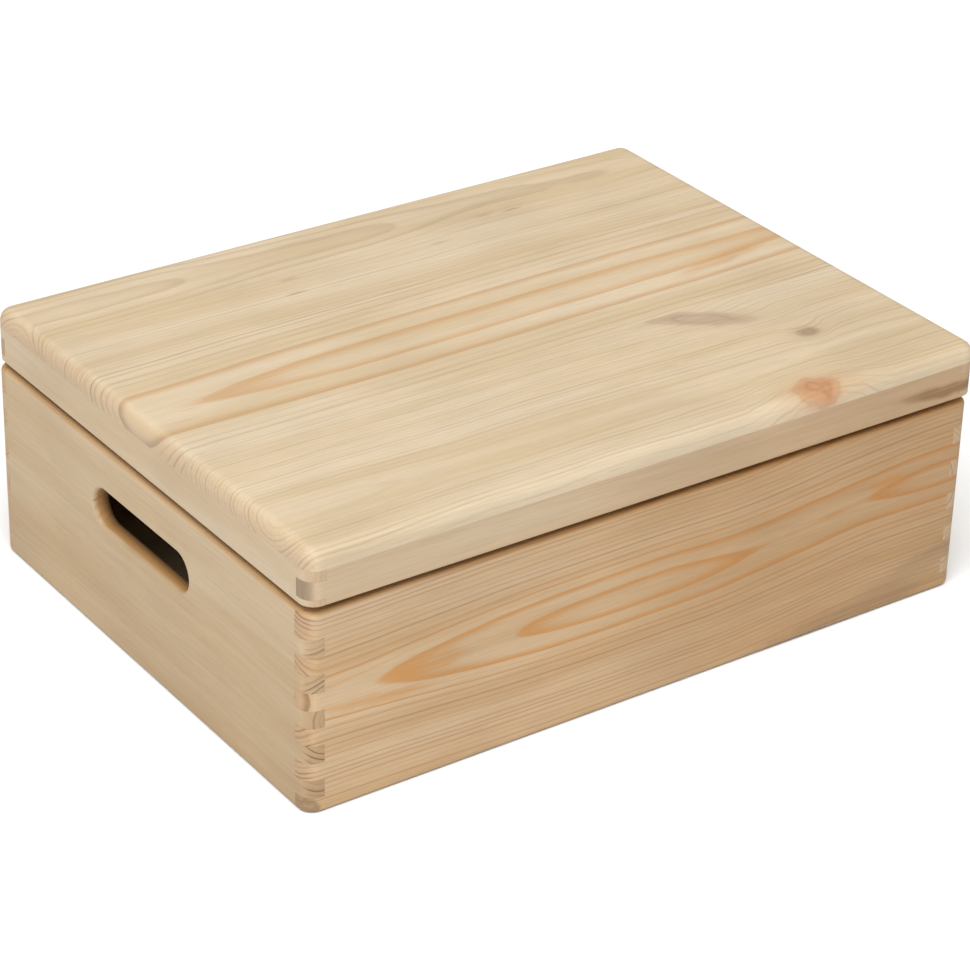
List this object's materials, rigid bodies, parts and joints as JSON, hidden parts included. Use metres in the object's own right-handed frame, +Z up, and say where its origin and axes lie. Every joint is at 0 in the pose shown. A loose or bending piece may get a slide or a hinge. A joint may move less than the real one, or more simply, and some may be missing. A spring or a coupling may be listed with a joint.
{
  "type": "wooden toy box",
  "caption": "Low rectangular pine box with finger-jointed corners, a hand slot in each end and a hinged lid.",
  "frame": {"origin": "centre of the whole object's box, on the surface it stands on", "axes": "+X along the front from left to right, +Y from the front to the hinges, +Z up"},
  "size_m": [0.4, 0.3056, 0.142],
  "materials": {
    "body_pine": "sanded untreated pine",
    "lid_rail_pine": "sanded untreated pine",
    "lid_top_pine": "sanded untreated pine",
    "birch_plywood": "unfinished plywood",
    "brass": "bright rolled brass",
    "zinc_steel": "zinc-plated steel"
  },
  "bodies": {
    "box": {"front_board": "body_pine", "back_board": "body_pine", "left_end_board": "body_pine", "right_end_board": "body_pine", "bottom_panel": "birch_plywood", "bottom_panel_nails": "zinc_steel", "left_hinge_body_leaf": "brass", "left_hinge_pin": "zinc_steel", "left_hinge_body_screws": "zinc_steel", "right_hinge_body_leaf": "brass", "right_hinge_pin": "zinc_steel", "right_hinge_body_screws": "zinc_steel"},
    "lid": {"lid_front_rail": "lid_rail_pine", "lid_back_rail": "lid_rail_pine", "lid_left_rail": "lid_rail_pine", "lid_right_rail": "lid_rail_pine", "lid_top_front_stave": "lid_top_pine", "lid_top_middle_stave": "lid_top_pine", "lid_top_back_stave": "lid_top_pine", "left_hinge_lid_leaf": "brass", "left_hinge_lid_screws": "zinc_steel", "right_hinge_lid_leaf": "brass", "right_hinge_lid_screws": "zinc_steel"}
  },
  "joints": [
    {"name": "lid_hinge", "type": "hinge", "parent": "box", "child": "lid", "pos_m": [0, 0.15043, 0.111], "axis": [-1, 0, 0], "range_deg": [0, 110]}
  ]
}
